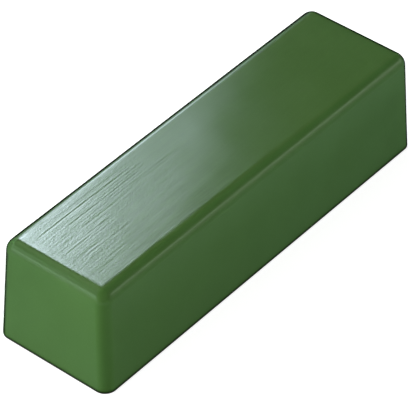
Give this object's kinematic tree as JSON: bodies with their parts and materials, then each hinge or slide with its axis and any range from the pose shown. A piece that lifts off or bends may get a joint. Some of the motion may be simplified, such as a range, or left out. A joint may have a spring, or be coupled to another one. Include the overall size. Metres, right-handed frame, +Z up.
{
  "type": "honing compound bar",
  "caption": "Tapered cast block of green polishing compound with rounded top edges, rubbed onto a strop to charge the leather.",
  "frame": {"origin": "middle of the resting face, which is the wide, poured side of the bar", "axes": "+X along the bar, +Y across it, +Z up from the resting face to the rubbing face"},
  "size_m": [0.0864, 0.025, 0.0216],
  "materials": {
    "compound": "satin"
  },
  "bodies": {
    "root": {"compound_bar": "compound"}
  },
  "joints": []
}
